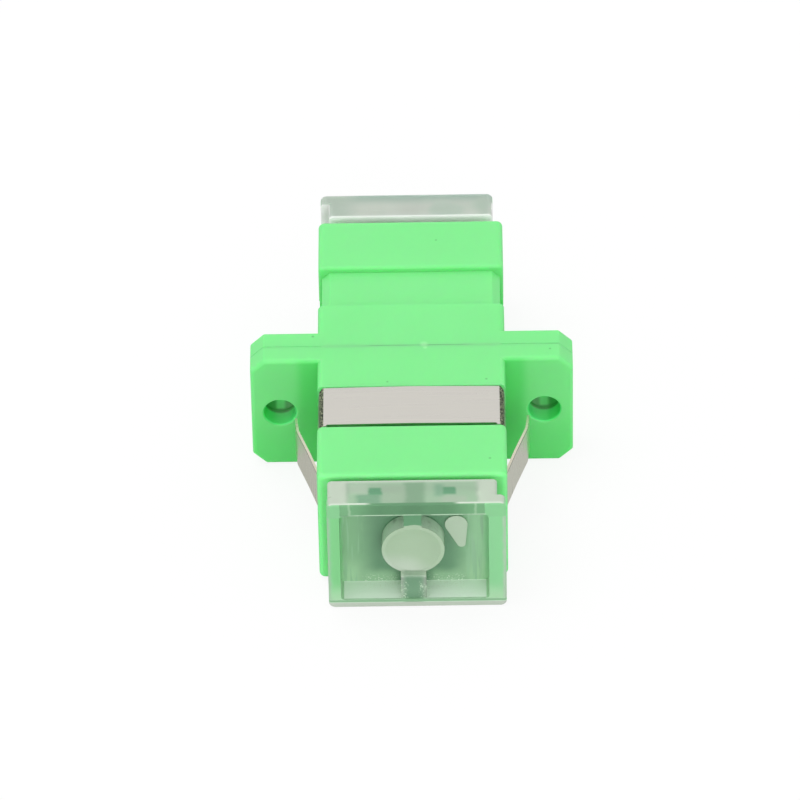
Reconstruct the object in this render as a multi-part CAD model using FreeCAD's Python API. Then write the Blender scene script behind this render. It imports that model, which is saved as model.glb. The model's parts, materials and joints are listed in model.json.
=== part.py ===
"""SC simplex fibre adapter with a flange, a spring steel mounting clip and two dust caps.

The adapter is two identical green mouldings, welded together at the middle of the flange.
Between them they hold two latch inserts and a slit ceramic sleeve that lines up the ferrules.
A folded steel clip sits in the front groove, and a clear dust cap closes each socket.

Frame: X across the flange, Y along the fibre (towards the rear), Z up, in millimetres.
The origin is on the fibre's axis, at the flange's front face, midway between its two holes.
Each half is drawn once, with its socket facing -Y and the weld plane at Y = 0.
"""
import FreeCAD
import Part
import math
import os
from FreeCAD import Vector

# Housing
body_width = 12.7
body_height = 9.3
half_length = 13.17          # from the weld plane to the socket's mouth
body_corner = 0.4            # rounding along the body's four long edges
mouth_edge = 0.35            # rounding round the mouth's outer edge
weld_edge = 0.06             # small bevel that leaves the weld line visible

# Flange
flange_width = 21.9
flange_thickness = 3.0
flange_corner = 0.92         # 45 degree corner cut
flange_corner_edge = 0.2     # rounding of the cut's own corners
hole_edge = 0.1
flange_edge = 0.28           # rounding round the flange's two faces
hole_spacing = 18.0
hole_diameter = 2.2

# Groove for the mounting clip, round each half
groove_near = 4.19           # distance of its near edge from the weld plane
groove_length = 3.96
groove_side_x = 6.1          # half width at the groove's floor
groove_top_z = 4.23          # half height at the groove's floor
groove_facet = 0.53          # slanting facet between the floor's top and its sides
groove_rim_edge = 0.22       # rounding of the groove's outer rim
tab_pocket_half = 1.6        # half height of the side pocket for the clip's tab
tab_pocket_length = 1.75     # how far that pocket runs on past the groove
tab_pocket_back = 0.55       # how far it reaches back into the groove
tab_pocket_x = 5.9

# Socket
socket_width = 9.15
socket_height = 7.5
socket_lead = 0.3            # lead-in bevel at the mouth
key_width = 2.1
key_depth = 0.45
key_length = 4.6             # the keyway is in the socket's lower side
plate_seat_width = 10.0      # seat at the weld plane for the latch insert's base plate
plate_seat_height = 8.4
plate_seat_depth = 1.25
arm_relief_half = 2.1        # half height of the side relief that lets the arms spread
arm_relief_reach = 10.5

# Latch insert
plate_thickness = 1.2
plate_gap = 0.05
holder_diameter = 4.7
holder_reach = 6.5
holder_bore = 3.3
holder_lip_bore = 2.9
holder_lip = 0.5
holder_edge = 0.3
arm_inner_x = 3.55
arm_outer_x = 4.35
arm_half_height = 1.8
arm_reach = 9.75
arm_root = 0.25              # the arm is this much thicker where it leaves the plate
arm_root_reach = 0.6
arm_tip_edge = 0.3
hook_x = 3.15
hook_nose = 0.15             # flat at the very tip of the hook's ramp
hook_ramp = 0.75
hook_back = 8.15             # where the hook's square shoulder stands

# Split sleeve
sleeve_length = 11.4
sleeve_outer = 3.2
sleeve_inner = 2.5
sleeve_slit = 0.45
sleeve_edge = 0.12

# Mounting clip, measured from the weld plane
clip_sheet = 0.17
clip_back_y = -4.22
clip_front_y = -8.12
web_relief = 0.16            # the web's front edge stands this far behind the legs' front
web_relief_half = 5.75
web_z = 4.58
web_bow = 0.05               # the web's middle stands this much higher than its ends
web_half = 5.98
leg_x = 6.33
leg_top_z = 3.6
leg_bottom_z = -3.7
shoulder_x = 6.21            # slanting shoulder between web and leg
shoulder_z = 4.18
lip_knee_x = 6.13            # the legs curl in under the body and end in two short lips
lip_knee_z = -4.35
lip_end_x = 5.45
lip_end_z = -4.62
saddle_bends = [0.4, 0.4, 0.4, 0.3, 0.2]    # bending radii from lip to web
web_bow_radius = 60.0
fold_y = -9.62               # where the tab folds back on itself
fold_inner_x = 5.93
fold_outer_x = 6.345
wing_half_height = 1.5
wing_knee_x = 7.05
wing_knee_y = -7.35
wing_bend_x = 7.82
wing_bend_y = -5.1
wing_tip_x = 7.95
wing_tip_y = -3.8
wing_root = 0.3              # the tab overlaps the leg by this much
tab_end_x = 5.985            # the tab tapers in towards its fold
tab_end_y = -9.27
wing_bends = [0.3, 0.3, 0.2, 0.2, 4.0, 1.5]    # bending radii from root to tip

# Dust cap
block_width = 11.3
cap_top = 4.57
cap_bottom = 4.69
block_length = 1.53
block_corner = 0.3
lip_plate_thickness = 0.87
lip_plate_corner = 0.45
lip_plate_edge = 0.1         # bevel round the plate's front
lip_plate_left = 5.7
lip_plate_right = 6.22       # the finger lip stands out on this side
tray_left = 4.88
tray_right = 5.06
tray_bottom = 3.98
tray_top = 3.57
tray_floor = 0.55
tray_corner = 0.3
boss_diameter = 4.2
boss_set_back = 0.55         # boss and upper web stop this far behind the cap's front
low_web_set_back = 0.12
boss_dish_diameter = 3.7
boss_dish_depth = 0.6
web_top_width = 1.2
web_bottom_width = 1.7
web_overlap = 0.17           # each web runs this far into the boss and the wall
recess_x = 2.45              # two small recesses in the tray's ceiling
recess_width = 0.8
recess_height = 0.35
recess_back = 0.75
recess_front = 1.4
gate_mark_height = 0.12      # low drop-shaped mark where the plastic entered the mould
gate_mark_wide = (2.9, 1.15, 0.76)    # its broad end: centre X, centre Z and radius
gate_mark_tip = (3.23, -0.58, 0.28)
skirt_width = 8.7
skirt_height = 7.1
skirt_wall = 0.8
skirt_length = 3.0
skirt_corner = 0.4
skirt_edge = 0.25

weld_y = flange_thickness / 2
front_cap_gap = 0.48         # the caps aren't pushed quite home
rear_cap_gap = 0.52


def outline(points):
    """Closed face from corner points."""
    return Part.Face(Part.makePolygon([Vector(*p) for p in points + points[:1]]))


def bar(width, height, y_start, y_end, x=0.0, z=0.0):
    """Block of the given section between two places along Y."""
    corner = Vector(x - width / 2, min(y_start, y_end), z - height / 2)
    return Part.makeBox(width, abs(y_end - y_start), height, corner)


def rod(diameter, y_start, y_end, x=0.0, z=0.0):
    """Cylinder along Y between two places."""
    start = Vector(x, min(y_start, y_end), z)
    return Part.makeCylinder(diameter / 2, abs(y_end - y_start), start, Vector(0, 1, 0))


def edges_where(shape, test):
    """Edges whose whole bounding box passes the test."""
    return [edge for edge in shape.Edges if test(edge.BoundBox)]


def along_y(box):
    return box.YLength > 0.5 and box.XLength < 0.01 and box.ZLength < 0.01


def rounded_bar(width, height, radius, y_start, y_end, x=0.0, z=0.0):
    """Block along Y with its four long edges rounded."""
    block = bar(width, height, y_start, y_end, x, z)
    return block.makeFillet(radius, edges_where(block, along_y))


def body_half():
    """Outside of the square body, rounded along its edges and round the mouth."""
    body = rounded_bar(body_width, body_height, body_corner, -half_length, 0)
    mouth = edges_where(body, lambda b: b.YMax < -half_length + 0.01)
    return body.makeFillet(mouth_edge, mouth)


def flange_half():
    """Half of the flange's thickness, with cut corners and softened front edges."""
    x = flange_width / 2
    z = body_height / 2
    c = flange_corner
    y = -flange_thickness / 2
    corners = [(-x, y, c - z), (c - x, y, -z), (x - c, y, -z), (x, y, c - z),
               (x, y, z - c), (x - c, y, z), (c - x, y, z), (-x, y, z - c)]
    plate = outline(corners).extrude(Vector(0, -y, 0))
    plate = plate.makeFillet(flange_corner_edge, edges_where(plate, along_y))
    front = edges_where(plate, lambda b: b.YMax < y + 0.01)
    plate = plate.makeFillet(flange_edge, front)
    weld = edges_where(plate, lambda b: b.YMin > -0.01)
    return plate.makeChamfer(weld_edge, weld)


def flange_holes():
    """Two screw holes, bevelled a little at the weld plane and at the flange's face."""
    tools = []
    for x in (-hole_spacing / 2, hole_spacing / 2):
        tools.append(rod(hole_diameter, -flange_thickness, flange_thickness, x))
        wide = hole_diameter / 2 + weld_edge
        cone = Part.makeCone(wide, hole_diameter / 2, weld_edge, Vector(x, 0, 0), Vector(0, -1, 0))
        tools.append(cone)
        wide = hole_diameter / 2 + hole_edge
        face = Vector(x, -flange_thickness / 2, 0)
        tools.append(Part.makeCone(wide, hole_diameter / 2, hole_edge, face, Vector(0, 1, 0)))
    return tools


def groove_ring():
    """Ring cut for the clip: what lies outside the groove's eight-sided floor."""
    x = groove_side_x
    z = groove_top_z
    right = [(x, z - groove_facet), (x - groove_facet, z)]
    upper = right + [(-px, pz) for px, pz in reversed(right)]
    lower = [(-px, -pz) for px, pz in upper]
    start = -groove_near - groove_length
    floor = outline([(px, start, pz) for px, pz in upper + lower])
    floor = floor.extrude(Vector(0, groove_length, 0))
    return bar(body_width + 2, body_height + 2, start, -groove_near).cut(floor)


def tab_pockets():
    """Side pockets at the groove's front edge that take the clip's folded tabs."""
    middle = -groove_near - groove_length
    depth = body_width / 2 - tab_pocket_x + 1
    tools = []
    for side in (-1, 1):
        x = side * (tab_pocket_x + depth / 2)
        start = middle - tab_pocket_length
        tools.append(bar(depth, 2 * tab_pocket_half, start, middle + tab_pocket_back, x))
    return tools


def socket():
    """Hollow of one half: the plug's socket, its keyway and the latch insert's seat."""
    mouth = -half_length
    hollow = bar(socket_width, socket_height, mouth - 1, 1)
    wide = outline([(x, mouth, z) for x, z in rectangle(socket_width + 2 * socket_lead,
                                                        socket_height + 2 * socket_lead)])
    narrow = outline([(x, mouth + socket_lead, z) for x, z in rectangle(socket_width, socket_height)])
    lead_in = Part.makeLoft([wide.OuterWire, narrow.OuterWire], True)
    key = bar(key_width, key_depth + 1, mouth - 1, mouth + key_length,
              z=0.5 - socket_height / 2 - key_depth / 2)
    seat = bar(plate_seat_width, plate_seat_height, -plate_seat_depth, 1)
    relief = bar(plate_seat_width, 2 * arm_relief_half, -arm_relief_reach, 0)
    return [hollow, lead_in, key, seat, relief]


def rectangle(width, height):
    """Corner points of a rectangle centred on the axis, as (x, z)."""
    x = width / 2
    z = height / 2
    return [(-x, -z), (x, -z), (x, z), (-x, z)]


def housing_half():
    """One green moulding: body, half the flange, clip groove and socket."""
    shape = body_half().fuse(flange_half()).removeSplitter()
    shape = shape.cut(groove_ring())
    far_rim = edges_where(shape, on_groove_far_rim)
    shape = shape.makeFillet(groove_rim_edge, far_rim)
    return shape.cut(flange_holes() + tab_pockets() + socket())


def on_groove_far_rim(box):
    """The outer edge of the groove's far wall, which the mould leaves rounded."""
    y = -groove_near - groove_length
    at_rim = abs(box.YMin - y) < 0.01 and abs(box.YMax - y) < 0.01
    outside = max(abs(box.XMin), abs(box.XMax)) > groove_side_x + 0.05
    above = max(abs(box.ZMin), abs(box.ZMax)) > groove_top_z + 0.05
    return at_rim and (outside or above) and not on_groove_floor(box)


def on_groove_floor(box):
    """Edges of the eight-sided floor stay sharp."""
    side = abs(abs(box.XMin) - groove_side_x) < 0.01 and box.XLength < 0.01
    top = abs(abs(box.ZMin) - groove_top_z) < 0.01 and box.ZLength < 0.01
    slanting = abs(box.XLength - groove_facet) < 0.01 and abs(box.ZLength - groove_facet) < 0.01
    inside = max(abs(box.XMin), abs(box.XMax)) < groove_side_x + 0.01
    return side or top or (slanting and inside)


def latch_insert_half():
    """Base plate, sleeve holder and two hooked latch arms, moulded as one."""
    width = plate_seat_width - 2 * plate_gap
    height = plate_seat_height - 2 * plate_gap
    plate = bar(width, height, -plate_thickness, 0)
    holder = rod(holder_diameter, -holder_reach, -plate_thickness / 2)
    tip = edges_where(holder, lambda b: b.YMax < -holder_reach + 0.01)
    holder = holder.makeChamfer(holder_edge, tip)
    shape = plate.fuse([holder, latch_arm(1), latch_arm(-1)])
    bore = rod(holder_bore, -holder_reach + holder_lip, 1)
    lip_bore = rod(holder_lip_bore, -holder_reach - 1, 0)
    return shape.cut([bore, lip_bore]).removeSplitter()


def latch_arm(side):
    """Springy arm along the socket's side, with a ramped hook at its tip."""
    root = -plate_thickness / 2
    tip = -arm_reach
    outer = [(arm_inner_x - arm_root, root), (arm_outer_x, root),
             (arm_outer_x, tip + arm_tip_edge), (arm_outer_x - arm_tip_edge, tip)]
    hook = [(arm_inner_x + hook_nose, tip), (hook_x, tip + hook_ramp), (hook_x, -hook_back),
            (arm_inner_x, -hook_back)]
    inner = [(arm_inner_x, -plate_thickness - arm_root_reach),
             (arm_inner_x - arm_root, -plate_thickness)]
    face = outline([(side * x, y, -arm_half_height) for x, y in outer + hook + inner])
    return face.extrude(Vector(0, 0, 2 * arm_half_height))


def split_sleeve():
    """Ceramic tube with one full-length slit, on the fibre's axis."""
    start = weld_y - sleeve_length / 2
    end = weld_y + sleeve_length / 2
    tube = rod(sleeve_outer, start, end).cut(rod(sleeve_inner, start - 1, end + 1))
    slit = bar(sleeve_slit, sleeve_outer, start - 1, end + 1, z=sleeve_outer / 2)
    sleeve = tube.cut(slit)
    rims = edges_where(sleeve, lambda b: b.YLength < 0.01 and b.XLength > sleeve_inner + 0.1)
    return sleeve.makeChamfer(sleeve_edge, rims)


def bent_path(points, radii):
    """Open wire through the points, with an arc at each inner corner."""
    corners = [Vector(*p) for p in points]
    edges = []
    last = corners[0]
    for before, here, after, radius in zip(corners, corners[1:], corners[2:], radii):
        back = (before - here).normalize()
        ahead = (after - here).normalize()
        half_angle = back.getAngle(ahead) / 2
        reach = radius / math.tan(half_angle)
        start = here + back * reach
        end = here + ahead * reach
        bisector = (back + ahead).normalize()
        centre = here + bisector * (radius / math.sin(half_angle))
        edges.append(Part.makeLine(last, start))
        edges.append(Part.Arc(start, centre - bisector * radius, end).toShape())
        last = end
    edges.append(Part.makeLine(last, corners[-1]))
    return Part.Wire(edges)


def sheet_strip(points, radii, step):
    """Face of bent sheet, between a path and the same path moved sideways by the sheet."""
    outer = bent_path(points, radii)
    moved = outer.makeOffset2D(step, 0, False, True)
    ends = [outer.OrderedVertexes[0].Point, outer.OrderedVertexes[-1].Point]
    others = [moved.OrderedVertexes[0].Point, moved.OrderedVertexes[-1].Point]
    if ends[0].distanceToPoint(others[0]) > ends[0].distanceToPoint(others[1]):
        others.reverse()
    caps = [Part.makeLine(ends[0], others[0]), Part.makeLine(ends[1], others[1])]
    loop = Part.Wire(Part.__sortEdges__(outer.Edges + moved.Edges + caps))
    return Part.Face(loop)


def clip_saddle():
    """The strip over the body: lip, leg, web, leg and lip, folded from one sheet."""
    y = clip_front_y
    side = [(lip_end_x, y, lip_end_z), (lip_knee_x, y, lip_knee_z),
            (leg_x, y, leg_bottom_z), (leg_x, y, leg_top_z),
            (shoulder_x, y, shoulder_z), (web_half, y, web_z)]
    middle = [(0, y, web_z + web_bow)]
    far_side = [(-x, y, z) for x, y, z in reversed(side)]
    radii = saddle_bends + [web_bow_radius] + saddle_bends[::-1]
    strip = sheet_strip(side + middle + far_side, radii, clip_sheet)
    saddle = strip.extrude(Vector(0, clip_back_y - clip_front_y, 0))
    relief = bar(2 * web_relief_half, 1, y - 1, y + web_relief, z=web_z)
    ends = edges_where(relief, lambda b: b.YMin > y and b.ZLength > 0.9)
    return saddle.cut(relief.makeFillet(web_relief * 0.9, ends))


def clip_wing(side):
    """Tab that runs forward from a leg, folds back on itself and springs outward."""
    inner_x = leg_x - clip_sheet
    path = [(inner_x, clip_front_y + wing_root), (inner_x, clip_front_y),
            (tab_end_x, tab_end_y), (fold_inner_x, fold_y), (fold_outer_x, fold_y),
            (wing_knee_x, wing_knee_y), (wing_bend_x, wing_bend_y), (wing_tip_x, wing_tip_y)]
    points = [(side * x, y, -wing_half_height) for x, y in path]
    strip = sheet_strip(points, wing_bends, -side * clip_sheet)
    return strip.extrude(Vector(0, 0, 2 * wing_half_height))


def mounting_clip():
    """One folded piece of spring steel: saddle and two sprung wings."""
    return clip_saddle().fuse([clip_wing(1), clip_wing(-1)]).removeSplitter()


def cap_shell():
    """Block and lip plate, hollowed from the front into an open tray."""
    front = -block_length - lip_plate_thickness
    height = cap_top + cap_bottom
    middle = (cap_top - cap_bottom) / 2
    block = rounded_bar(block_width, height, block_corner, -block_length, 0, 0, middle)
    plate_width = lip_plate_left + lip_plate_right
    plate_x = (lip_plate_right - lip_plate_left) / 2
    plate = rounded_bar(plate_width, height, lip_plate_corner, front, -block_length, plate_x, middle)
    rims = edges_where(plate, lambda b: b.YMax < front + 0.01)
    plate = plate.makeChamfer(lip_plate_edge, rims)
    shell = block.fuse(plate)
    tray = bar(tray_left + tray_right, tray_bottom + tray_top, front - 1, -tray_floor,
               (tray_right - tray_left) / 2, (tray_top - tray_bottom) / 2)
    tray = tray.makeFillet(tray_corner, edges_where(tray, along_y))
    return shell.cut(tray)


def cap_boss():
    """Round boss with a dished face, and the upright webs that tie it to the tray's walls."""
    front = -block_length - lip_plate_thickness
    back = -tray_floor / 2
    boss = rod(boss_diameter, front + boss_set_back, back)
    rim = boss_dish_diameter / 2
    ball = (rim ** 2 + boss_dish_depth ** 2) / (2 * boss_dish_depth)
    dish = Part.makeSphere(ball, Vector(0, front + boss_set_back + boss_dish_depth - ball, 0))
    start = boss_diameter / 2 - web_overlap
    top_height = tray_top + web_overlap - start
    low_height = tray_bottom + web_overlap - start
    top_web = bar(web_top_width, top_height, front + boss_set_back, back, z=start + top_height / 2)
    low_web = bar(web_bottom_width, low_height, front + low_web_set_back, back,
                  z=-start - low_height / 2)
    return boss.cut(dish).fuse([top_web, low_web])


def cap_recesses():
    """Two small recesses in the tray's ceiling, open into the tray."""
    z = tray_top
    height = 2 * recess_height
    return [bar(recess_width, height, -recess_front, -recess_back, x, z) for x in (-recess_x, recess_x)]


def gate_mark():
    """Low drop-shaped mark on the tray's floor: two discs joined by their shared tangents."""
    x, z, radius = gate_mark_wide
    tip_x, tip_z, tip_radius = gate_mark_tip
    along = math.atan2(tip_z - z, tip_x - x)
    lean = math.acos((radius - tip_radius) / math.hypot(tip_x - x, tip_z - z))
    front = -tray_floor - gate_mark_height
    back = -tray_floor / 2
    discs = [gate_mark_wide, gate_mark_tip]
    one_side = [on_rim(disc, front, along + lean) for disc in discs]
    other_side = [on_rim(disc, front, along - lean) for disc in reversed(discs)]
    middle = outline(one_side + other_side).extrude(Vector(0, back - front, 0))
    ends = [rod(2 * r, front, back, disc_x, disc_z) for disc_x, disc_z, r in discs]
    return middle.fuse(ends).removeSplitter()


def on_rim(disc, y, angle):
    """Point on a disc's rim. The disc is its centre X, centre Z and radius."""
    x, z, radius = disc
    return (x + radius * math.cos(angle), y, z + radius * math.sin(angle))


def cap_skirt():
    """The square skirt that goes into the socket and holds the cap there."""
    skirt = rounded_bar(skirt_width, skirt_height, skirt_corner, -tray_floor / 2, skirt_length)
    rims = edges_where(skirt, lambda b: b.YMin > skirt_length - 0.01)
    skirt = skirt.makeChamfer(skirt_edge, rims)
    inside = bar(skirt_width - 2 * skirt_wall, skirt_height - 2 * skirt_wall, 0, skirt_length + 1)
    return skirt.cut(inside)


def dust_cap():
    """One clear moulded cap, drawn as the front one, with Y = 0 at the block's inner face."""
    shape = cap_shell().fuse([cap_boss(), gate_mark(), cap_skirt()]).cut(cap_recesses())
    return shape.removeSplitter()


def placed(shape, y, turned=False):
    """Copy of a shape, turned half round the Z axis if asked, moved along Y."""
    copy = shape.copy()
    if turned:
        copy.rotate(Vector(0, 0, 0), Vector(0, 0, 1), 180)
    copy.translate(Vector(0, y, 0))
    return copy


def build():
    """Every piece of the adapter in its place, by node name."""
    housing = housing_half()
    insert = latch_insert_half()
    cap = dust_cap()
    front_cap_y = weld_y - half_length - front_cap_gap
    rear_cap_y = weld_y + half_length + rear_cap_gap
    return {
        "housing_front": placed(housing, weld_y),
        "housing_rear": placed(housing, weld_y, turned=True),
        "latch_insert_front": placed(insert, weld_y),
        "latch_insert_rear": placed(insert, weld_y, turned=True),
        "split_sleeve": split_sleeve(),
        "mounting_clip": placed(mounting_clip(), weld_y),
        "dust_cap_front": placed(cap, front_cap_y),
        "dust_cap_rear": placed(cap, rear_cap_y, turned=True),
    }


os.makedirs("parts", exist_ok=True)
for name, shape in build().items():
    if len(shape.Solids) == 1:
        shape = shape.Solids[0]
    shape.exportStep("parts/" + name + ".step")
    print(name, shape.ShapeType, shape.isValid(), round(shape.Volume, 3), "mm3")
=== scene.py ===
# %% [markdown]
# # SC fibre adapter: the finish of every surface
#
# The adapter is a small green plastic coupler. Two identical mouldings are welded together at the
# middle of a flange, a folded spring steel clip sits in a groove round the front half, and a clear
# dust cap closes each socket. The construction comes in as a fixed frame of solids in metres, with X
# across the flange, Y along the fibre and Z up. This file gives each solid its finish, adds the
# marks that moulding and handling leave, and paints in light and shade where a surface's colour
# stands for them. It never moves a solid.

# %% Load the frame
import json
import math
from types import SimpleNamespace

import bpy
import numpy as np
from mathutils import Matrix, Vector


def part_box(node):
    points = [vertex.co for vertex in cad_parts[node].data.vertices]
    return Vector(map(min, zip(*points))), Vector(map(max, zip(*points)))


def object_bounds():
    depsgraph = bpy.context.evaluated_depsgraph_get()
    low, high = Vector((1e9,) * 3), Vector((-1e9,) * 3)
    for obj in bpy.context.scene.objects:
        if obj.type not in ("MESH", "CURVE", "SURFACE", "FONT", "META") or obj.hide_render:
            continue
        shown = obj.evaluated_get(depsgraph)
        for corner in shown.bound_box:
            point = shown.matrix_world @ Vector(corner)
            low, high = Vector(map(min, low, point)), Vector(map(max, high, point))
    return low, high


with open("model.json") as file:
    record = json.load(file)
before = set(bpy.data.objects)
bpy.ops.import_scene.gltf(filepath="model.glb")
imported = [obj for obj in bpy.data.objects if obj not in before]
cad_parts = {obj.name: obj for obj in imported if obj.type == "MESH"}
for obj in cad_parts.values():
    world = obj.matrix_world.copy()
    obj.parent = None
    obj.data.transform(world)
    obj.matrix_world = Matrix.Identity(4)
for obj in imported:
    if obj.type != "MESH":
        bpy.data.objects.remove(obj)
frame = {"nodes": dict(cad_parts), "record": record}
nodes = frame["nodes"]
solid_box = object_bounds()
mm = 0.001
print("nodes:", ", ".join(sorted(nodes)))
print("size of the solids in mm:", [round(float(h - l) / mm, 2) for l, h in zip(*solid_box)])

# %% [markdown]
# ## Helpers for colours, nodes and masks
#
# Colours are chosen as sRGB hex values, which is how a paint or plastic is usually named, and
# Blender's shaders want linear light, so `linear` turns the first into the second. `add` makes one
# shader node with its settings and links, which keeps each material short enough to read from top
# to bottom.
#
# A finish changes from place to place, so three more helpers make masks: numbers that are 1 where
# something is and 0 elsewhere. `ramp` is a soft step along one coordinate, `both` multiplies two
# masks, and `zone` makes a soft-edged box out of several ramps. `paint` and `level` then lay a
# colour or a number over what is already there. A texture painted by hand could do the same, but
# masks on coordinates need no unwrapping and stay sharp at any distance.


# %% Colour and node helpers
def linear(hex_colour):
    """Linear RGBA from an sRGB hex value: each channel goes through the sRGB curve."""
    channels = np.array([int(hex_colour[i:i + 2], 16) for i in (1, 3, 5)]) / 255
    curved = np.where(channels <= 0.04045, channels / 12.92, ((channels + 0.055) / 1.055) ** 2.4)
    return (*curved, 1.0)


def add(tree, kind, settings=None, **inputs):
    """Adds a node. An input goes by its label, or by its number as i0, i1 and so on where labels
    repeat. It is a value, or an output socket of another node to link from."""
    node = tree.nodes.new(kind)
    for name, value in (settings or {}).items():
        setattr(node, name, value)
    for name, value in inputs.items():
        socket = node.inputs[int(name[1:])] if name[0] == "i" and name[1:].isdigit() else None
        socket = socket or node.inputs[name.replace("_", " ")]
        if isinstance(value, bpy.types.NodeSocket):
            tree.links.new(value, socket)
        else:
            socket.default_value = value
    return node


def new_material(name):
    """Empty material with its node tree, its Principled shader and its Object coordinates."""
    material = bpy.data.materials.new(name)
    material.use_nodes = True
    tree = material.node_tree
    shader = tree.nodes["Principled BSDF"]
    place = tree.nodes.new("ShaderNodeTexCoord").outputs["Object"]
    return material, tree, shader, place


def dress(node_name, material):
    """Puts one material in every slot of a solid."""
    data = nodes[node_name].data
    data.materials.clear()
    data.materials.append(material)


print("connector green as linear light:", [round(c, 3) for c in linear("#73df82")])


# %% Mask helpers
def ramp(tree, value, start, end):
    """0 at one value and 1 at another, clamped, smooth in between."""
    node = add(tree, "ShaderNodeMapRange", {"interpolation_type": "SMOOTHSTEP"}, i0=value,
               i1=start, i2=end, i3=0.0, i4=1.0)
    return node.outputs[0]


def both(tree, first, second):
    """Product of two masks: 1 where both are 1."""
    return add(tree, "ShaderNodeMath", {"operation": "MULTIPLY"}, i0=first, i1=second).outputs[0]


def zone(tree, soft, *limits):
    """1 inside a box. Each limit is (value, low, high); None leaves that side open."""
    mask = None
    for value, low, high in limits:
        for edge, step in ((low, soft), (high, -soft)):
            if edge is None:
                continue
            side = ramp(tree, value, edge - step / 2, edge + step / 2)
            mask = side if mask is None else both(tree, mask, side)
    return mask


def paint(tree, mask, under, colour):
    """Lays a colour over another one where the mask is 1."""
    mixed = add(tree, "ShaderNodeMix", {"data_type": "RGBA"}, i0=mask, i6=under, i7=colour)
    return mixed.outputs[2]


def level(tree, mask, under, value):
    """Like paint, for a plain number."""
    mixed = add(tree, "ShaderNodeMix", {"data_type": "FLOAT"}, i0=mask, i2=under, i3=value)
    return mixed.outputs[0]


print("masks: ramp, both, zone; laid with paint and level")

# %% [markdown]
# ## Places on the housing
#
# The marks on the housing belong to its faces and its screw holes, so their places are read from
# the frame: the front half's own box gives the front face, the weld plane and the top, and the
# record gives the hole spacing and radius. The solids are drawn to a hundredth of a millimetre, and
# the places are rounded to that. Each material can then measure from the nearest screw hole's axis
# as easily as from the middle plane.


# %% Places on the housing
def hundredths(metres):
    """A length in metres, rounded to a hundredth of a millimetre."""
    return round(float(metres) / mm, 2) * mm


front_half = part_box("housing_front")
front_face = hundredths(front_half[0][1])
weld_plane = hundredths(front_half[1][1])
top_face = hundredths(front_half[1][2])
holes = next(m for m in frame["record"]["mounts"] if m["name"] == "flange_holes")["dims"]
hole_place = holes["spacing_x_mm"] / 2 * mm     # from the middle to a screw hole's axis
hole_radius = holes["hole_r_mm"] * mm
half_body = 6.35 * mm                           # from the middle to the body's side


def housing_places(tree, place):
    """Coordinates for the housing's masks: across is |x|, and from_hole is the distance from the
    nearest screw hole's axis, the length of (|x| - hole_place, z)."""
    x, y, z = add(tree, "ShaderNodeSeparateXYZ", None, Vector=place).outputs
    across = add(tree, "ShaderNodeMath", {"operation": "ABSOLUTE"}, i0=x).outputs[0]
    off_hole = add(tree, "ShaderNodeMath", {"operation": "SUBTRACT"}, i0=across,
                   i1=hole_place).outputs[0]
    flat = add(tree, "ShaderNodeCombineXYZ", None, i0=off_hole, i2=z).outputs[0]
    from_hole = add(tree, "ShaderNodeVectorMath", {"operation": "LENGTH"}, i0=flat)
    return SimpleNamespace(y=y, z=z, across=across, off_hole=off_hole,
                           from_hole=from_hole.outputs["Value"])


print("front face, weld plane and top in mm:",
      [round(v / mm, 2) for v in (front_face, weld_plane, top_face)])

# %% [markdown]
# ## Painted light and shade, and handling marks
#
# Light and shade on the housing are painted in as masks: the front face is painted lighter, the
# flange's own face gets painted shade towards the body and its foot, and the screw holes get painted
# light on their front half, painted shade in their rear half and a painted sheen down the middle of
# it, with a dark line where the two halves meet. The weld leaves a thin bead along the body's top. A
# few specks and one pale scuff come from handling. Each function below gives a list of coats, and a
# coat is a mask and a tint; a later coat lies over an earlier one.


# %% Coats for the housing
def hole_coats(tree, at):
    """The screw holes' walls: painted light on the front half, painted shade on the rear half with a
    painted sheen down its middle, and a dark line where the halves meet.
    """
    inside = ramp(tree, at.from_hole, hole_radius + 0.07 * mm, hole_radius + 0.02 * mm)
    # painted shade deeper in the hole, with a painted sheen down the middle of it
    rear_half = both(tree, inside, ramp(tree, at.y, weld_plane - 0.2 * mm, weld_plane + 0.1 * mm))
    sheen = zone(tree, 0.3 * mm, (at.off_hole, -0.3 * mm, 0.3 * mm))
    seam = zone(tree, 0.3 * mm, (at.y, weld_plane - 0.25 * mm, weld_plane + 0.15 * mm))
    return [(inside, "#5cee84"),
            (rear_half, "#22b043"),
            (both(tree, rear_half, sheen), "#50e873"),
            (both(tree, seam, inside), "#0c9c2c")]


def face_coats(tree, at):
    """The flange's face with painted shade towards its foot and towards the body behind the wings,
    and painted light on the front face.
    """
    face = zone(tree, 0.2 * mm, (at.across, half_body, None), (at.y, None, 0.1 * mm))
    face = both(tree, face, zone(tree, 0.2 * mm, (at.from_hole, hole_radius + 0.1 * mm, None)))
    # painted shade towards the foot and towards the body; painted light on the front face
    foot = both(tree, face, ramp(tree, at.z, 1.5 * mm, -3.5 * mm))
    corner = both(tree, face, ramp(tree, at.across, 8.1 * mm, 7.2 * mm))
    mouth = zone(tree, 0.15 * mm, (at.y, None, front_face + 0.17 * mm))
    return [(foot, "#62dc74"), (corner, "#5cdb70"), (mouth, "#85f394")]


def spots(tree, place, points):
    """1 inside any of a few round marks on the top. Each is (x, y, radius) in millimetres."""
    total = None
    for x, y, radius in points:
        centre = (x * mm, y * mm, top_face)
        gap = add(tree, "ShaderNodeVectorMath", {"operation": "DISTANCE"}, i0=place, i1=centre)
        near = add(tree, "ShaderNodeMapRange", None, i0=gap.outputs["Value"],
                   i1=radius * mm, i2=radius * mm * 0.35, i3=0.0, i4=1.0).outputs[0]
        if total is None:
            total = near
        else:
            total = add(tree, "ShaderNodeMath", {"operation": "MAXIMUM"}, i0=total,
                        i1=near).outputs[0]
    return total


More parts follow.
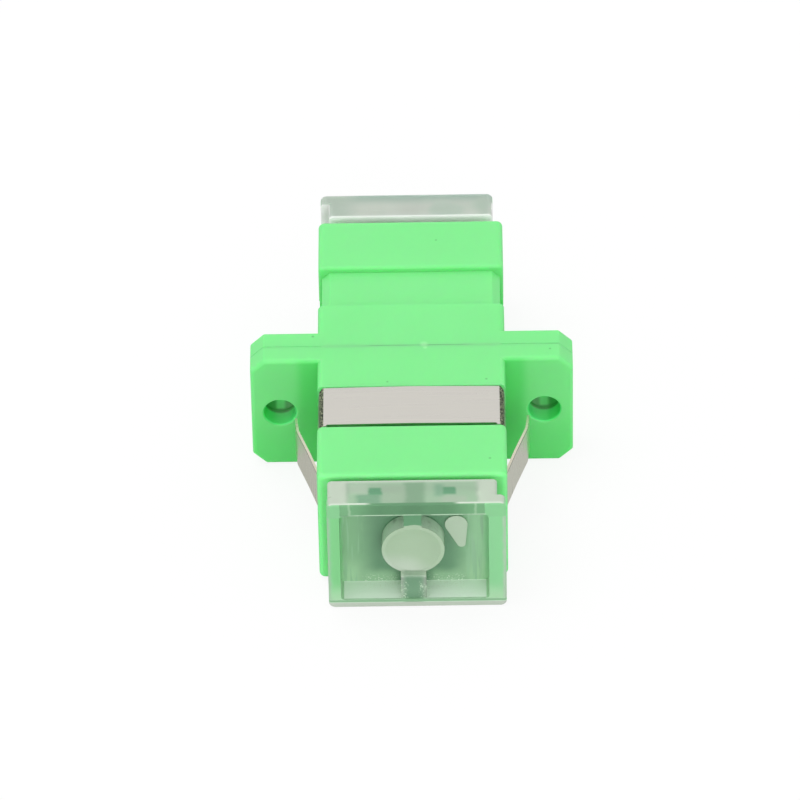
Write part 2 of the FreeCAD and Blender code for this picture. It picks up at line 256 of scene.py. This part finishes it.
def mark_coats(tree, at, place, drift):
    """The weld's thin bead on the top, six dark specks, and a scuff of two overlapping spots."""
    line = zone(tree, 0.03 * mm, (at.y, weld_plane - 0.035 * mm, weld_plane + 0.035 * mm),
                (at.z, top_face - 0.05 * mm, None))
    bead = both(tree, line, ramp(tree, drift, 0.4, 0.55))
    specks = spots(tree, place, [(-6.67, 2.52, 0.13), (9.41, 0.94, 0.1), (-1.62, -2.25, 0.1),
                                 (5.06, -2.09, 0.11), (5.21, -10.12, 0.12), (1.76, 12.51, 0.1)])
    scuff = spots(tree, place, [(0.87, 1.58, 0.35), (0.95, 1.25, 0.2)])
    return [(bead, "#5fc670"), (specks, "#5cc06c"), (scuff, "#90ea98")]


print("coats for the housing: screw holes, faces, weld line, specks and scuff")

# %% [markdown]
# ## Green plastic
#
# The housing is PBT, a tough moulded plastic, in the bright green that marks angled connectors. The
# mould is lightly spark eroded, so the surface is a soft satin: broad highlights, and a very fine
# grain about 0.12 mm across. The colour is even, with a slow drift of a percent or two where the
# plastic flowed. A little light goes in and comes out again half a millimetre away, which is why
# thin edges glow; subsurface scattering does that, and it reaches farthest in the green. All of it
# sits on Object coordinates, because those stay put on the part from every side.


# %% Green plastic
def green_plastic():
    """Moulded PBT with a spark eroded satin skin."""
    material, tree, shader, place = new_material("moulded green PBT, satin")
    at = housing_places(tree, place)
    flow_size, grain_size, grain_depth = 6 * mm, 0.12 * mm, 0.004 * mm
    drift = add(tree, "ShaderNodeTexNoise", None, Vector=place, Scale=1 / flow_size,
                Detail=2.0).outputs[0]
    colour = paint(tree, drift, linear("#73df82"), linear("#79e388"))
    coats = hole_coats(tree, at) + face_coats(tree, at) + mark_coats(tree, at, place, drift)
    for mask, tint in coats:
        colour = paint(tree, mask, colour, linear(tint))
    tree.links.new(colour, shader.inputs["Base Color"])
    grain = add(tree, "ShaderNodeTexNoise", None, Vector=place, Scale=1 / grain_size,
                Detail=3.0).outputs[0]
    rough = add(tree, "ShaderNodeMapRange", None, i0=grain, i3=0.34, i4=0.46)
    tree.links.new(rough.outputs[0], shader.inputs["Roughness"])
    bump = add(tree, "ShaderNodeBump", None, Height=grain, Distance=grain_depth, Strength=0.5)
    tree.links.new(bump.outputs[0], shader.inputs["Normal"])
    shader.inputs["IOR"].default_value = 1.55
    shader.inputs["Subsurface Weight"].default_value = 0.6
    shader.inputs["Subsurface Radius"].default_value = (0.1, 0.7, 0.2)
    shader.inputs["Subsurface Scale"].default_value = 1 * mm
    return material


green = green_plastic()
for name in ("housing_front", "housing_rear"):
    dress(name, green)
print("green plastic on both halves of the housing")

# %% [markdown]
# ## Spring steel
#
# The clip is cut from rolled stainless strip and folded. Rolling leaves a very fine grain along the
# strip, so the surface is bright but not a mirror: a metal with a roughness near 0.3 and noise
# stretched along X. The wings have a painted highlight along their upper edge with a thin dark line
# beside it, the right wing has a little painted light, and the web's front edge has a painted
# highlight. At the two long folds the tint is a painted dark reflection of the bend, finely
# speckled, and there the shader is made less metallic as well as rougher.


# %% Coats for the clip
def cut_coats(tree, x, y, z, across):
    """The wings in their own paler tint, with painted light on the right wing, a painted highlight
    along their upper edge with a dark line under it, and a painted highlight along the web's front
    edge.
    """
    wings = zone(tree, 0.05 * mm, (across, 6.37 * mm, None))
    # painted light: the right wing a little brighter than the left
    right = ramp(tree, x, -2 * mm, 2 * mm)
    # painted highlight along the wings' upper edge, with a dark line just under it
    edge_dark_line = both(tree, wings, zone(tree, 0.02 * mm, (z, 1.36 * mm, 1.46 * mm)))
    edge_highlight = both(tree, wings, zone(tree, 0.02 * mm, (z, 1.47 * mm, None)))
    # painted highlight along the web's front edge
    web_edge_highlight = zone(tree, 0.03 * mm, (y, None, -7.82 * mm), (z, 4.4 * mm, None))
    return [(wings, "#dadac6"),
            (both(tree, wings, right), "#e3e4d2"),
            (edge_dark_line, "#7d7868"),
            (edge_highlight, "#dcd6c4"),
            (web_edge_highlight, "#f0eee6")]


def fold_coats(tree, place, fold):
    """The folds: a painted dark reflection of the bend, with pale specks about 0.1 mm across."""
    speckle = add(tree, "ShaderNodeTexNoise", None, Vector=place, Scale=1 / (0.1 * mm),
                  Detail=1.0).outputs[0]
    specks = both(tree, fold, ramp(tree, speckle, 0.52, 0.6))
    return [(fold, "#252d20"), (specks, "#a5ac8d")]


print("coats for the clip: wings, burr, cut edges, folds")


# %% Spring steel
def spring_steel():
    """Rolled stainless strip, with a painted dark reflection in the speckled folds and painted
    highlights along the edges.
    """
    material, tree, shader, place = new_material("rolled stainless spring strip")
    x, y, z = add(tree, "ShaderNodeSeparateXYZ", None, Vector=place).outputs
    across = add(tree, "ShaderNodeMath", {"operation": "ABSOLUTE"}, i0=x).outputs[0]
    grain_length, grain_width = 6 * mm, 0.25 * mm
    stretched = add(tree, "ShaderNodeMapping", None, Vector=place)
    stretched.inputs["Scale"].default_value = (1 / grain_length, 1 / grain_width,
                                               1 / grain_length)
    rolled = add(tree, "ShaderNodeTexNoise", None, Vector=stretched.outputs[0], Scale=1.0,
                 Detail=2.0).outputs[0]
    # the folds' dark tint is a painted dark reflection of the bend
    fold = zone(tree, 0.03 * mm, (across, 5.93 * mm, 6.23 * mm), (z, 2.6 * mm, None))
    colour = paint(tree, rolled, linear("#cbc8c2"), linear("#cecbc3"))
    for mask, tint in cut_coats(tree, x, y, z, across) + fold_coats(tree, place, fold):
        colour = paint(tree, mask, colour, linear(tint))
    tree.links.new(colour, shader.inputs["Base Color"])
    rough = add(tree, "ShaderNodeMapRange", None, i0=rolled, i3=0.24, i4=0.32)
    tree.links.new(level(tree, fold, rough.outputs[0], 0.8), shader.inputs["Roughness"])
    tree.links.new(level(tree, fold, 1.0, 0.35), shader.inputs["Metallic"])
    return material


dress("mounting_clip", spring_steel())
print("spring steel on the clip")

# %% [markdown]
# ## A cap's own coordinates
#
# Both dust caps are the same moulding, one of them turned round, so their finish is described once,
# in coordinates that belong to the cap: millimetres, with Y at 0 on the inner face of its plate and
# at -2.4 in front. A slightly stirred copy of X and Z is used for soft things, because what is seen
# through moulded clear plastic never has a straight border. Two noises go with them: slow waves in
# the skin, and a grain about a tenth of a millimetre across.


# %% A cap's own coordinates
plate_depth = 2.4               # from the inner face of a cap's plate to its front, in millimetres
front_inner_face = round(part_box("dust_cap_front")[0][1] / mm + plate_depth, 2)
rear_inner_face = round(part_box("dust_cap_rear")[1][1] / mm - plate_depth, 2)


def cap_places(tree, place, inner_face, turned):
    """A cap's own coordinates in millimetres. x, z, across (|x|) and from_axis are stirred by up to
    0.15 mm. y isn't, nor are own, the whole vector, and straight, which is z again."""
    own = add(tree, "ShaderNodeMapping", None, Vector=place)
    own.inputs["Scale"].default_value = (1 / mm, 1 / mm, 1 / mm)
    own.inputs["Rotation"].default_value = (0, 0, math.pi if turned else 0)
    own.inputs["Location"].default_value = (0, inner_face if turned else -inner_face, 0)
    own = own.outputs[0]
    swirl = add(tree, "ShaderNodeTexNoise", None, Vector=own, Scale=1 / 0.7, Detail=3.0).outputs[1]
    shift = add(tree, "ShaderNodeVectorMath", {"operation": "SUBTRACT"}, i0=swirl,
                i1=(0.5, 0.5, 0.5)).outputs[0]
    stirred = add(tree, "ShaderNodeVectorMath", {"operation": "MULTIPLY_ADD"}, i0=shift,
                  i1=(0.3, 0.0, 0.3), i2=own).outputs[0]
    x, y, z = add(tree, "ShaderNodeSeparateXYZ", None, Vector=stirred).outputs
    across = add(tree, "ShaderNodeMath", {"operation": "ABSOLUTE"}, i0=x).outputs[0]
    flat = add(tree, "ShaderNodeCombineXYZ", None, i0=x, i2=z).outputs[0]
    from_axis = add(tree, "ShaderNodeVectorMath", {"operation": "LENGTH"}, i0=flat)
    straight = add(tree, "ShaderNodeSeparateXYZ", None, Vector=own).outputs[2]
    waves = add(tree, "ShaderNodeTexNoise", None, Vector=own, Scale=1 / 1.6, Detail=3.0).outputs[0]
    grain = add(tree, "ShaderNodeTexNoise", None, Vector=own, Scale=1 / 0.11, Detail=1.0).outputs[0]
    return SimpleNamespace(own=own, x=x, y=y, z=z, across=across, straight=straight,
                           from_axis=from_axis.outputs["Value"], waves=waves, grain=grain)


print("inner faces of the caps' plates in mm:", front_inner_face, rear_inner_face)

# %% [markdown]
# ## The tray in the cap's front
#
# The front of a cap is a shallow tray, with a round boss held by a web above and a web below. The
# plastic is clear polypropylene, and clear plastic has hardly any colour of its own: it shows the
# green housing behind, paler where the wall is thick and milky, deeper where it is thin. Tracing
# that exactly needs many bounces through rough walls. It is steadier, and the same from every side,
# to give each region its own tint and a smaller share of transmitted light. Some of these tints are
# painted light and shade: painted shade where the housing behind lies in shade, painted light on the
# ledge and on the boss's upper side, and painted highlights and glints. So a cap's coat has three
# parts: a mask, a tint and the share of light that still goes through.


# %% Coats for the tray
def floor_coats(tree, cap):
    """The tray's floor: paler at the right and towards its foot, with painted shade behind the boss
    and in a patch low down beside the lower web.
    """
    floor = zone(tree, 0.15, (cap.y, -0.7, None), (cap.z, -4.1, 3.9), (cap.across, None, 5.2))
    right = both(tree, floor, ramp(tree, cap.x, 2.8, 4.8))
    low = both(tree, floor, ramp(tree, cap.z, -1.0, -3.9))
    # painted shade behind the boss and in a patch low down beside the lower web
    behind_boss = both(tree, floor, zone(tree, 2.2, (cap.across, None, 3.3)))
    foot = both(tree, low, zone(tree, 0.8, (cap.across, 1.2, 3.4), (cap.z, None, -3.0)))
    stretched = add(tree, "ShaderNodeMapping", None, Vector=cap.own)
    stretched.inputs["Scale"].default_value = (1 / 0.25, 1 / 4, 1 / 4)
    strands = add(tree, "ShaderNodeTexNoise", None, Vector=stretched.outputs[0], Scale=1.0)
    streaks = both(tree, zone(tree, 0.8, (cap.across, 3.6, 5.1)),
                   ramp(tree, strands.outputs[0], 0.5, 0.6))
    return [(floor, "#9bd0a0", 0.2),
            (right, "#b2e6b7", 0.2),
            (low, "#bfe8be", 0.15),
            (behind_boss, "#74a580", 0.2),
            (foot, "#a3cfa6", 0.15),
            (both(tree, floor, streaks), "#a9d8b0", 0.2)]


def wall_coats(tree, cap):
    """The tray's side walls, deepest in a strip on the left, paler at their feet and outer edges."""
    walls = zone(tree, 0.3, (cap.across, 4.8, None), (cap.z, -4.0, 4.5), (cap.y, None, -0.5))
    strip = both(tree, walls, zone(tree, 0.25, (cap.x, -5.45, -4.5)))
    feet = both(tree, zone(tree, 0.5, (cap.across, 4.5, None), (cap.y, None, -0.5)),
                ramp(tree, cap.z, -2.2, -4.0))
    left_edge = zone(tree, 0.25, (cap.x, None, -5.55), (cap.z, None, 4.2))
    right_edge = zone(tree, 0.2, (cap.x, 6.0, None), (cap.z, None, 4.2))
    return [(walls, "#9ae6a6", 0.3),
            (strip, "#8fe599", 0.3),
            (feet, "#b4e6b6", 0.2),
            (left_edge, "#b2dab5", 0.3),
            (right_edge, "#bddcbe", 0.3)]


def ledge_coats(tree, cap):
    """The upper web, painted light on the ledge under the tray, and painted glints on both sides of
    its middle.
    """
    upper_web = zone(tree, 0.3, (cap.across, None, 0.8), (cap.z, 1.9, 3.75), (cap.y, None, -0.6))
    ledge = zone(tree, 0.03, (cap.straight, -4.3, -3.96))
    glints = zone(tree, 0.6, (cap.across, 1.2, 3.4), (cap.z, None, -3.5), (cap.y, -1.3, None))
    return [(upper_web, "#6aa578", 0.2),
            (ledge, "#effff0", 0.0),
            (both(tree, glints, ramp(tree, cap.grain, 0.56, 0.64)), "#e9f8e6", 0.1)]


print("coats for the tray: floor, walls, upper web, ledge")


# %% Coats for the boss and the lower rim
def boss_coats(tree, cap):
    """The boss's dished face with a painted highlight in a crescent low on it and painted light on
    its upper side, the lower web with painted glints, and the smooth drop where the plastic entered
    the mould."""
    disc = zone(tree, 0.1, (cap.from_axis, None, 2.2), (cap.y, None, -1.1))
    lean = add(tree, "ShaderNodeVectorMath", {"operation": "DOT_PRODUCT"}, i0=cap.own,
               i1=(-0.35, 0.0, -0.94)).outputs["Value"]
    crescent = both(tree, disc, ramp(tree, lean, 0.7, 1.8))
    side = zone(tree, 0.06, (cap.from_axis, 2.05, 2.25), (cap.y, -1.8, -0.66))
    lower_web = zone(tree, 0.5, (cap.z, -4.3, -2.0), (cap.across, None, 0.65),
                     (cap.y, None, -0.6))
    gate = zone(tree, 0.03, (cap.y, -0.72, -0.58), (cap.x, 1.9, 3.9), (cap.z, -1.1, 2.1))
    sparks = zone(tree, 0.3, (cap.across, 0.4, 1.1), (cap.z, -4.0, -2.4), (cap.y, None, -0.6))
    return [(disc, "#b2cdad", 0.15),
            (crescent, "#c0d2bd", 0.12),
            (both(tree, side, ramp(tree, cap.z, 0.0, 0.8)), "#d2e8d2", 0.1),
            (lower_web, "#7dad88", 0.3),
            (gate, "#c2d6be", 0.1),
            (both(tree, sparks, ramp(tree, cap.grain, 0.52, 0.64)), "#cfe8cd", 0.1)]


def lower_rim_coats(tree, cap):
    """The rim below the tray: a green line along the ledge, then pale."""
    line = zone(tree, 0.1, (cap.straight, -4.2, -3.97), (cap.y, None, -2.25))
    rim = zone(tree, 0.1, (cap.straight, None, -4.22), (cap.y, None, -2.25))
    return [(line, "#9bd0a0", 0.3), (rim, "#c2cdbe", 0.1)]


print("coats for the boss, the gate mark and the lower rim")

# %% [markdown]
# ## The rim and the top wall
#
# Above the tray the rim's front carries painted shade in the middle, because the housing's open
# mouth, which lies in shade, shows through it, and a painted highlight runs as a thin bright line
# along its lower edge. The top wall lies close over the housing, so the housing's ribs and openings
# show through it as soft patches, and its back edge carries a painted highlight. On the rear cap
# nothing green lies close behind, and the wall is a pale cool grey. Drawn as masks, these shades
# stay with the cap when it is pulled off, which is the price of not tracing them.


# %% Coats for the front cap's top and upper rim
def top_coats(tree, cap):
    """The front cap's top wall, through which the green housing shows in soft patches, given as
    (left, right, front, back, tint), with a painted highlight along its back edge."""
    top = zone(tree, 0.15, (cap.z, 4.4, None))
    middle = both(tree, top, zone(tree, 0.5, (cap.across, None, 4.3)))
    coats = [(middle, "#b4d6b5", 0.4)]
    patches = ((-0.55, 0.85, -2.5, 0.0, "#96c09b"), (-2.05, -0.45, -2.2, -0.5, "#b4d0b3"),
               (-3.7, -2.1, -2.5, -1.3, "#8abb97"), (1.9, 3.6, -2.3, -1.6, "#bfd5bc"),
               (-4.2, -2.9, -1.3, -0.3, "#c6dfc4"), (1.5, 2.1, -1.6, -0.4, "#93c4a0"))
    for left, right, front, back, tint in patches:
        patch = zone(tree, 0.5, (cap.x, left, right), (cap.y, front, back))
        coats.append((both(tree, middle, patch), tint, 0.4))
    off_recess = add(tree, "ShaderNodeMath", {"operation": "SUBTRACT"}, i0=cap.across,
                     i1=2.45).outputs[0]
    recesses = zone(tree, 0.25, (cap.z, 4.3, None), (off_recess, -0.42, 0.42),
                    (cap.y, -1.42, -0.7))
    # painted highlight along the back edge
    back_edge = both(tree, top, ramp(tree, cap.y, -0.35, -0.05))
    ends = both(tree, top, ramp(tree, cap.across, 4.1, 4.6))
    return coats + [(recesses, "#6cb083", 0.4),
                    (back_edge, "#d3e2cf", 0.3),
                    (ends, "#d2dfcd", 0.3)]


def upper_rim_coats(tree, cap):
    """The upper rim's front, with painted shade in the middle between two pale posts, a painted
    highlight in a thin bright line along its lower edge, and painted light on its upper edge towards
    both ends."""
    margins = zone(tree, 0.1, (cap.y, None, -2.24), (cap.straight, 3.4, None),
                   (cap.across, 4.75, None))
    band = zone(tree, 0.12, (cap.y, None, -2.22), (cap.straight, 3.6, None),
                (cap.across, None, 4.8))
    sides = both(tree, band, ramp(tree, cap.across, 2.0, 4.6))
    off_post = add(tree, "ShaderNodeMath", {"operation": "SUBTRACT"}, i0=cap.across,
                   i1=4.2).outputs[0]
    posts = both(tree, band, zone(tree, 0.12, (off_post, -0.08, 0.08)))
    line = zone(tree, 0.04, (cap.y, None, -2.25), (cap.straight, 3.6, 3.67),
                (cap.across, None, 4.9))
    front_edge = zone(tree, 0.05, (cap.y, -2.33, -2.2), (cap.straight, 4.46, None))
    return [(margins, "#97e0a2", 0.3),
            (band, "#659c70", 0.3),
            (sides, "#7fbd88", 0.3),
            (posts, "#a3d0a6", 0.3),
            (both(tree, line, ramp(tree, cap.waves, 0.38, 0.5)), "#c2e4c3", 0.2),
            (both(tree, front_edge, ramp(tree, cap.across, 2.6, 3.2)), "#dfeadb", 0.2)]


print("coats for the front cap's top wall and upper rim")


# %% Coats for the rear cap
def pale_coats(tree, cap):
    """The rear cap's top, cooler towards its front and darker at one end, its sides and its inner
    face: all pale grey."""
    top = zone(tree, 0.15, (cap.z, 4.3, None))
    drift = add(tree, "ShaderNodeTexNoise", None, Vector=cap.own, Scale=1 / 3,
                Detail=1.0).outputs[0]
    sides = zone(tree, 0.1, (cap.y, -1.6, None), (cap.across, 5.35, None), (cap.z, None, 4.45))
    inner = zone(tree, 0.1, (cap.y, -0.15, None), (cap.z, 3.75, None))
    return [(top, "#c9d0c6", 0.25),
            (both(tree, top, ramp(tree, cap.y, -1.0, -2.4)), "#a6bdb0", 0.3),
            (both(tree, top, ramp(tree, drift, 0.45, 0.6)), "#bdccbf", 0.3),
            (both(tree, top, ramp(tree, cap.x, 3.2, 4.8)), "#bcc9bd", 0.3),
            (sides, "#dedfdd", 0.1),
            (inner, "#e8ebe7", 0.0)]


print("coats for the rear cap's top, sides and inner face")

# %% [markdown]
# ## Clear cap plastic
#
# Now the coats are laid one over another on a Principled shader. Where none of them lies, half of
# the light goes through. The skin is wavy and very finely grained, which is what blurs the view:
# roughness near a third, and a low bump made of slow waves with a little grain on top. The rear cap
# is the milkier of the two, so light also wanders about a millimetre inside it and comes out of its
# shaded inner face, and subsurface scattering does that.


# %% Clear cap plastic
def clear_plastic(name, inner_face, turned):
    """Clear polypropylene: lets light through and blurs it. The rear cap scatters it as well."""
    material, tree, shader, place = new_material(name)
    cap = cap_places(tree, place, inner_face, turned)
    coats = floor_coats(tree, cap) + wall_coats(tree, cap) + ledge_coats(tree, cap)
    coats += boss_coats(tree, cap) + lower_rim_coats(tree, cap)
    coats += pale_coats(tree, cap) if turned else top_coats(tree, cap) + upper_rim_coats(tree, cap)
    cloudy = ramp(tree, cap.waves, 0.4, 0.62)
    colour = paint(tree, cloudy, linear("#b4cdb4"), linear("#c6d8c5"))
    clear = 0.5
    for mask, tint, share in coats:
        colour = paint(tree, mask, colour, linear(tint))
        clear = level(tree, mask, clear, share)
    tree.links.new(colour, shader.inputs["Base Color"])
    tree.links.new(clear, shader.inputs["Transmission Weight"])
    shader.inputs["IOR"].default_value = 1.49
    shader.inputs["Roughness"].default_value = 0.36
    if turned:
        shader.inputs["Subsurface Weight"].default_value = 1.0
        shader.inputs["Subsurface Radius"].default_value = (1.0, 1.0, 1.0)
        shader.inputs["Subsurface Scale"].default_value = 1.2 * mm
    height = add(tree, "ShaderNodeMath", {"operation": "MULTIPLY_ADD"}, i0=cap.grain, i1=0.12,
                 i2=cap.waves).outputs[0]
    bump = add(tree, "ShaderNodeBump", None, Height=height, Distance=0.08 * mm, Strength=0.35)
    tree.links.new(bump.outputs[0], shader.inputs["Normal"])
    return material


dress("dust_cap_front",
      clear_plastic("clear moulded polypropylene, front", front_inner_face, False))
dress("dust_cap_rear",
      clear_plastic("clear moulded polypropylene, rear", rear_inner_face, True))
print("clear plastic on both caps")

# %% [markdown]
# ## The hidden pieces
#
# The latch inserts are moulded in a deeper green polyamide, tougher than the housing because their
# arms have to spring. The sleeve is zirconia, fired and then ground, with fine rings round its axis
# that a stretched noise gives. Both show only when a cap is pulled off, but a finished part has them
# finished too.


# %% Insert plastic and zirconia
def tough_green_plastic():
    """Moulded green polyamide, satin, with a faint cloud in its colour."""
    material, tree, shader, place = new_material("moulded green polyamide, satin")
    cloud = add(tree, "ShaderNodeTexNoise", None, Vector=place, Scale=1 / (3 * mm),
                Detail=2.0).outputs[0]
    colour = paint(tree, cloud, linear("#3fc158"), linear("#46c95f"))
    tree.links.new(colour, shader.inputs["Base Color"])
    rough = add(tree, "ShaderNodeMapRange", None, i0=cloud, i3=0.35, i4=0.48)
    tree.links.new(rough.outputs[0], shader.inputs["Roughness"])
    return material


def ground_zirconia():
    """Fired white ceramic with fine grinding rings round its axis, 0.08 mm apart."""
    material, tree, shader, place = new_material("ground zirconia")
    along = add(tree, "ShaderNodeMapping", None, Vector=place)
    along.inputs["Scale"].default_value = (1 / (3 * mm), 1 / (0.08 * mm), 1 / (3 * mm))
    rings = add(tree, "ShaderNodeTexNoise", None, Vector=along.outputs[0], Scale=1.0,
                Detail=2.0).outputs[0]
    colour = paint(tree, rings, linear("#f1eee6"), linear("#faf8f2"))
    tree.links.new(colour, shader.inputs["Base Color"])
    rough = add(tree, "ShaderNodeMapRange", None, i0=rings, i3=0.15, i4=0.3)
    tree.links.new(rough.outputs[0], shader.inputs["Roughness"])
    shader.inputs["IOR"].default_value = 2.1
    return material


insert_plastic = tough_green_plastic()
for name in ("latch_insert_front", "latch_insert_rear"):
    dress(name, insert_plastic)
dress("split_sleeve", ground_zirconia())
print("green polyamide on the inserts, zirconia on the sleeve")

# %% [markdown]
# ## Floor, world and light
#
# The adapter lies on a white table in soft daylight. The world gives even light from all round, a
# large soft lamp above and to the left gives the top faces their level, and a smaller share comes
# from a low lamp in front. The floor keeps the adapter's soft shadow, but most of its brightness is
# its own, so that it is plain white where it is seen. In reflections it is a shade darker, like a
# table that ends somewhere: that gives the satin plastic and the steel something to mirror besides
# white, and keeps their colours full.


# %% Floor and world
white = (1, 1, 1, 1)
floor_low = float(solid_box[0][2]) - 0.01 * mm      # just clear of the clip's lips


def white_where_seen(tree, seen, lit, mirrored):
    """Mixes the lit shader towards the seen one for camera and transmitted rays, and towards the
    mirrored one for glossy rays."""
    path = tree.nodes.new("ShaderNodeLightPath")
    direct = add(tree, "ShaderNodeMath", {"operation": "MAXIMUM"},
                 i0=path.outputs["Is Camera Ray"], i1=path.outputs["Is Transmission Ray"])
    mixed = add(tree, "ShaderNodeMixShader", None, i0=direct.outputs[0], i1=lit, i2=seen)
    return add(tree, "ShaderNodeMixShader", None, i0=path.outputs["Is Glossy Ray"],
               i1=mixed.outputs[0], i2=mirrored).outputs[0]


def white_floor():
    """Large white sheet under the object, a hundredth of a millimetre below its lowest point."""
    half, own_light, mirrored_light = 0.6, 0.88, 0.6
    mesh = bpy.data.meshes.new("floor")
    corners = [(-half, -half, floor_low), (half, -half, floor_low),
               (half, half, floor_low), (-half, half, floor_low)]
    mesh.from_pydata(corners, [], [(0, 1, 2, 3)])
    floor = bpy.data.objects.new("floor", mesh)
    bpy.context.scene.collection.objects.link(floor)
    material, tree, shader, _ = new_material("white table top")
    shader.inputs["Base Color"].default_value = linear("#f4f4f4")
    shader.inputs["Roughness"].default_value = 0.9
    glow = add(tree, "ShaderNodeEmission", None, Color=white, Strength=1.0)
    bright = add(tree, "ShaderNodeMixShader", None, i0=own_light, i1=shader.outputs[0],
                 i2=glow.outputs[0])
    shade = add(tree, "ShaderNodeEmission", None, Color=white, Strength=mirrored_light)
    mixed = white_where_seen(tree, bright.outputs[0], shader.outputs[0], shade.outputs[0])
    tree.links.new(mixed, tree.nodes["Material Output"].inputs["Surface"])
    mesh.materials.append(material)


def soft_world():
    """Even pale light all round; plain white wherever it is seen."""
    world_light = 0.85
    world = bpy.data.worlds.new("soft daylight")
    bpy.context.scene.world = world
    world.use_nodes = True
    tree = world.node_tree
    lit = tree.nodes["Background"]
    lit.inputs["Color"].default_value = white
    lit.inputs["Strength"].default_value = world_light
    seen = add(tree, "ShaderNodeBackground", None, Color=white, Strength=1.0)
    mixed = white_where_seen(tree, seen.outputs[0], lit.outputs[0], seen.outputs[0])
    tree.links.new(mixed, tree.nodes["World Output"].inputs["Surface"])


white_floor()
soft_world()
print("floor at", round(floor_low / mm, 2), "mm")


# %% Lamps
def soft_lamp(name, place, size, power):
    """Square soft lamp that faces the object. Places and sizes are in metres, power in watts."""
    light = bpy.data.lights.new(name, "AREA")
    light.shape = "SQUARE"
    light.size = size
    light.energy = power
    lamp = bpy.data.objects.new(name, light)
    lamp.location = place
    lamp.rotation_euler = (-Vector(place)).to_track_quat("-Z", "Y").to_euler()
    bpy.context.scene.collection.objects.link(lamp)


soft_lamp("key above left", place=(-0.14, 0.04, 0.44), size=0.30, power=0.68)
soft_lamp("low front fill", place=(0.05, -0.42, 0.14), size=0.30, power=0.42)
print("lamps:", ", ".join(lamp.name for lamp in bpy.data.lights))

# %% [markdown]
# ## Camera
#
# The view is from the front and above, with a long lens, so the sides of the adapter hardly
# converge. A camera is never quite level, so this one is turned by a small roll, and it aims a
# little beside the frame's origin. Its direction is built from the two angles, and its right and up
# axes follow by cross products.

# %% Camera
elevation = math.radians(41.304)
azimuth = math.radians(0.606)
roll = math.radians(-1.186)
lens_angle = math.radians(6.0)
distance = 519.67 * mm
aim_right, aim_up = -0.832 * mm, 0.749 * mm
toward_camera = Vector((math.sin(azimuth) * math.cos(elevation),
                        -math.cos(azimuth) * math.cos(elevation), math.sin(elevation)))
level_right = Vector((math.cos(azimuth), math.sin(azimuth), 0))
level_up = toward_camera.cross(level_right)
right = math.cos(roll) * level_right + math.sin(roll) * level_up
up = math.cos(roll) * level_up - math.sin(roll) * level_right
aim = aim_right * right + aim_up * up
camera_data = bpy.data.cameras.new("camera")
camera_data.angle = lens_angle
camera_data.clip_start = 0.01
camera = bpy.data.objects.new("camera", camera_data)
turn = Matrix((right, up, toward_camera)).transposed().to_4x4()
camera.matrix_world = Matrix.Translation(aim + distance * toward_camera) @ turn
bpy.context.scene.collection.objects.link(camera)
bpy.context.scene.camera = camera
bpy.context.scene.view_settings.view_transform = "Standard"
print("camera at", [round(c, 4) for c in camera.matrix_world.translation])
